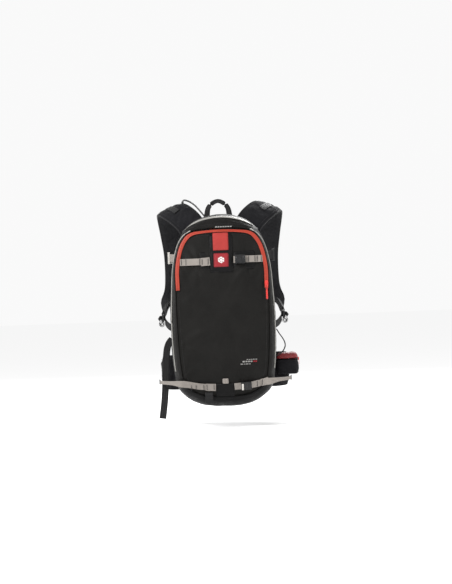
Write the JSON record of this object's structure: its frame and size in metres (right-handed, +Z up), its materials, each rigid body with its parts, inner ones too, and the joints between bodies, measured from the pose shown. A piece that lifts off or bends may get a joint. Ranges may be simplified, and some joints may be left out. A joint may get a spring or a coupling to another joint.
{
  "type": "avalanche airbag backpack",
  "caption": "Slim ski touring backpack with an airbag in its top, gas cylinder, trigger on the left shoulder strap, wide shoulder straps and padded hip belt, worn and buckled.",
  "frame": {"origin": "middle of the back pad's contact face, where the wearer's back lies", "axes": "+Z up, +Y towards the wearer and their chest, +X to the wearer's right"},
  "size_m": [0.4119, 0.4597, 0.638],
  "materials": {
    "bag_fabric": "matt black woven nylon with a fine ripstop grain",
    "harness_fabric": "charcoal stretch-woven face over foam",
    "pad_fabric": "dark grey moulded foam with a fabric face",
    "grey_webbing": "warm light grey polyester webbing",
    "black_webbing": "black polyester webbing",
    "red_zip": "orange-red coated zip tape",
    "red_webbing": "red webbing",
    "red_fabric": "dark red smooth fabric",
    "reflective_piping": "light grey reflective piping",
    "black_plastic": "moulded black acetal",
    "red_plastic": "moulded red nylon",
    "cable_jacket": "black cable housing",
    "stay_metal": "bare aluminium bar",
    "cylinder_metal": "brushed aluminium",
    "airbag_fabric": "orange coated nylon"
  },
  "bodies": {
    "pack": {"front_panel": "bag_fabric", "gusset_left": "bag_fabric", "gusset_right": "bag_fabric", "bottom_panel": "bag_fabric", "back_panel": "bag_fabric", "shoulder_strap_left": "harness_fabric", "shoulder_strap_right": "harness_fabric", "hip_wing_left": "harness_fabric", "hip_wing_right": "harness_fabric", "hip_pocket": "harness_fabric", "airbag_bay_floor": "harness_fabric", "trigger_sleeve": "harness_fabric", "back_pad": "pad_fabric", "lumbar_pad": "pad_fabric", "upper_strap_left": "grey_webbing", "upper_strap_right": "grey_webbing", "lower_strap_left": "grey_webbing", "lower_strap_right": "grey_webbing", "axe_loop": "black_webbing", "grab_handle": "black_webbing", "side_loop_right": "black_webbing", "leg_strap": "black_webbing", "lower_webbing_left": "black_webbing", "lower_webbing_right": "black_webbing", "hip_webbing": "black_webbing", "label_patch": "black_webbing", "cylinder_strap": "black_webbing", "main_zip": "red_zip", "red_tab": "red_webbing", "hip_pocket_top": "red_fabric", "piping_left": "reflective_piping", "piping_right": "reflective_piping", "upper_buckle_female": "black_plastic", "lower_buckle_female": "black_plastic", "hip_buckle_female": "black_plastic", "side_adjuster_left": "black_plastic", "side_adjuster_right": "black_plastic", "sternum_rail_left": "black_plastic", "sternum_rail_right": "black_plastic", "frame_sheet": "black_plastic", "inflator_head": "black_plastic", "trigger_cable": "cable_jacket", "stay_left": "stay_metal", "stay_right": "stay_metal", "folded_airbag": "airbag_fabric"},
    "airbag_cover": {"airbag_cover": "bag_fabric"},
    "zip_slider": {"zip_slider": "red_zip"},
    "zip_pull": {"zip_pull": "red_zip"},
    "trigger": {"trigger_handle": "red_plastic"},
    "firing_lever": {"firing_lever": "red_plastic"},
    "upper_buckle_male": {"upper_buckle_male": "black_plastic"},
    "lower_buckle_male": {"lower_buckle_male": "black_plastic"},
    "sternum_strap": {"sternum_webbing": "black_webbing", "sternum_buckle_female": "black_plastic"},
    "sternum_buckle_male": {"sternum_buckle_male": "black_plastic"},
    "hip_buckle_male": {"hip_buckle_male": "black_plastic"},
    "hip_pocket_slider": {"hip_pocket_slider": "black_plastic"},
    "gas_cylinder": {"gas_cylinder": "cylinder_metal"},
    "strap_adjuster_left": {"strap_adjuster_left": "black_plastic"},
    "strap_adjuster_right": {"strap_adjuster_right": "black_plastic"}
  },
  "joints": [
    {"name": "airbag_cover_open", "type": "hinge", "parent": "pack", "child": "airbag_cover", "pos_m": [0, -0.026, 0.264], "axis": [-1, 0, 0], "range_deg": [0, 70]},
    {"name": "main_zip_slide", "type": "slide", "parent": "pack", "child": "zip_slider", "axis": [0, 0.115, 0.9934], "range_m": [0, 0.045]},
    {"name": "zip_pull_swing", "type": "hinge", "parent": "zip_slider", "child": "zip_pull", "pos_m": [0.1262, -0.18944, 0.068], "axis": [-1, 0, 0], "range_deg": [0, 165]},
    {"name": "trigger_pull", "type": "slide", "parent": "pack", "child": "trigger", "axis": [0, 0, -1], "range_m": [0, 0.03]},
    {"name": "firing_lever_turn", "type": "hinge", "parent": "pack", "child": "firing_lever", "pos_m": [-0.047, -0.066, 0.078], "axis": [0, 1, 0], "range_deg": [0, 52]},
    {"name": "upper_buckle_release", "type": "slide", "parent": "pack", "child": "upper_buckle_male", "axis": [1, 0, 0], "range_m": [0, 0.024]},
    {"name": "lower_buckle_release", "type": "slide", "parent": "pack", "child": "lower_buckle_male", "axis": [1, 0, 0], "range_m": [0, 0.024]},
    {"name": "sternum_height", "type": "slide", "parent": "pack", "child": "sternum_strap", "axis": [0, 0, 1], "range_m": [-0.02, 0.02]},
    {"name": "sternum_buckle_release", "type": "slide", "parent": "sternum_strap", "child": "sternum_buckle_male", "axis": [1, 0, 0], "range_m": [0, 0.026]},
    {"name": "hip_buckle_release", "type": "slide", "parent": "pack", "child": "hip_buckle_male", "axis": [1, 0, 0], "range_m": [0, 0.04]},
    {"name": "hip_pocket_zip_slide", "type": "slide", "parent": "pack", "child": "hip_pocket_slider", "axis": [0, 1, 0], "range_m": [0, 0.08]},
    {"name": "cylinder_unscrew", "type": "hinge", "parent": "pack", "child": "gas_cylinder", "pos_m": [-0.08, -0.066, 0.018], "axis": [0, 0, 1], "continuous": true},
    {"name": "left_adjuster_tilt", "type": "hinge", "parent": "pack", "child": "strap_adjuster_left", "pos_m": [-0.177, 0.086, -0.019], "axis": [0, 0, -1], "range_deg": [0, 40]},
    {"name": "right_adjuster_tilt", "type": "hinge", "parent": "pack", "child": "strap_adjuster_right", "pos_m": [0.177, 0.086, -0.019], "axis": [0, 0, 1], "range_deg": [0, 40]}
  ],
  "couplings": [
    {"joint": "firing_lever_turn", "follows": "trigger_pull", "rad_per_m": 29.4}
  ]
}
